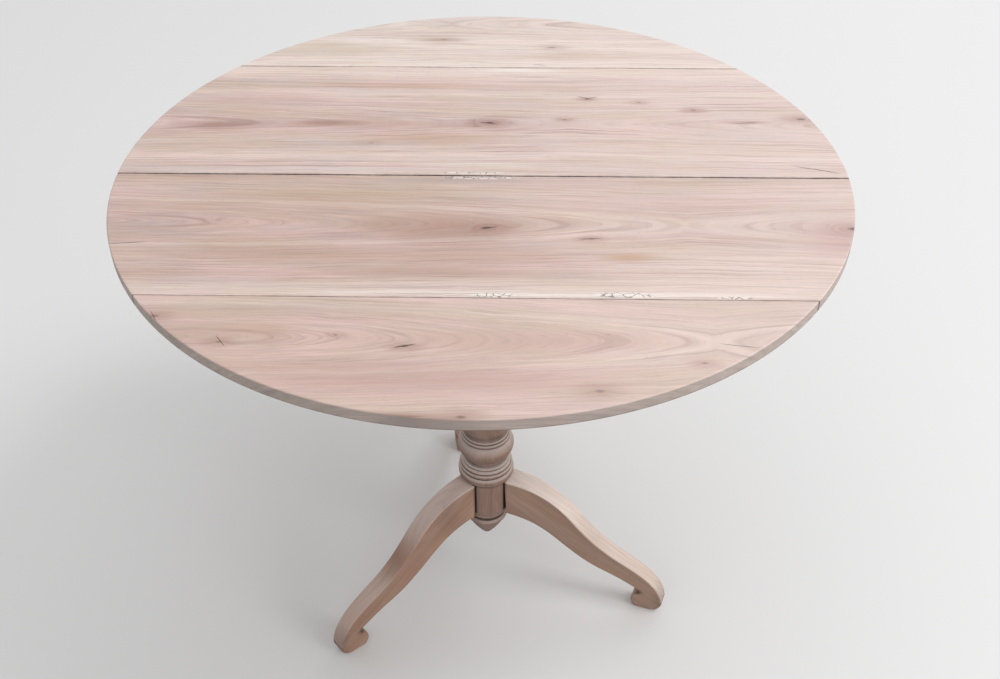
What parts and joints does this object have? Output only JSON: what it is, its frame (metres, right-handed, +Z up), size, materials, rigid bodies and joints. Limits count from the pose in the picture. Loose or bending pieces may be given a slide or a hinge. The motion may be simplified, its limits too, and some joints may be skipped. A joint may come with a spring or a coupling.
{
  "type": "round pedestal table",
  "caption": "Round pedestal table with a boarded tilting top on a turned column with dovetailed scroll-foot legs and a sliding brass catch.",
  "frame": {"origin": "on the floor, under the centre of the round top", "axes": "+Z up, X along the boards and the tilting axis, -Y towards the front edge that lifts"},
  "size_m": [0.9399, 0.9398, 0.75],
  "materials": {
    "top_wood": "bare, bleached, matt",
    "under_wood": "bare, matt",
    "base_wood": "bare, worn, matt",
    "pin_wood": "bare end grain, matt",
    "brass": "aged, satin",
    "brass_screws": "aged, satin",
    "steel_screws": "dull, darkened"
  },
  "bodies": {
    "base": {"column": "base_wood", "drop_finial": "base_wood", "leg_1": "base_wood", "leg_2": "base_wood", "leg_3": "base_wood", "tilt_block": "under_wood", "left_pivot_pin": "pin_wood", "right_pivot_pin": "pin_wood", "tenon_wedge": "pin_wood", "catch_keep": "brass", "keep_screws": "brass_screws"},
    "top": {"top_board_1": "top_wood", "top_board_2": "top_wood", "top_board_3": "top_wood", "top_board_4": "top_wood", "left_bearer": "under_wood", "right_bearer": "under_wood", "bearer_screws": "steel_screws", "catch_plate": "brass", "catch_screws": "brass_screws"},
    "bolt": {"catch_bolt": "brass", "catch_knob": "brass"}
  },
  "joints": [
    {"name": "top_tilt", "type": "hinge", "parent": "base", "child": "top", "pos_m": [0, 0.076, 0.711], "axis": [-1, 0, 0], "range_deg": [0, 90]},
    {"name": "bolt_slide", "type": "slide", "parent": "top", "child": "bolt", "axis": [0, 1, 0], "range_m": [0, 0.012]}
  ]
}
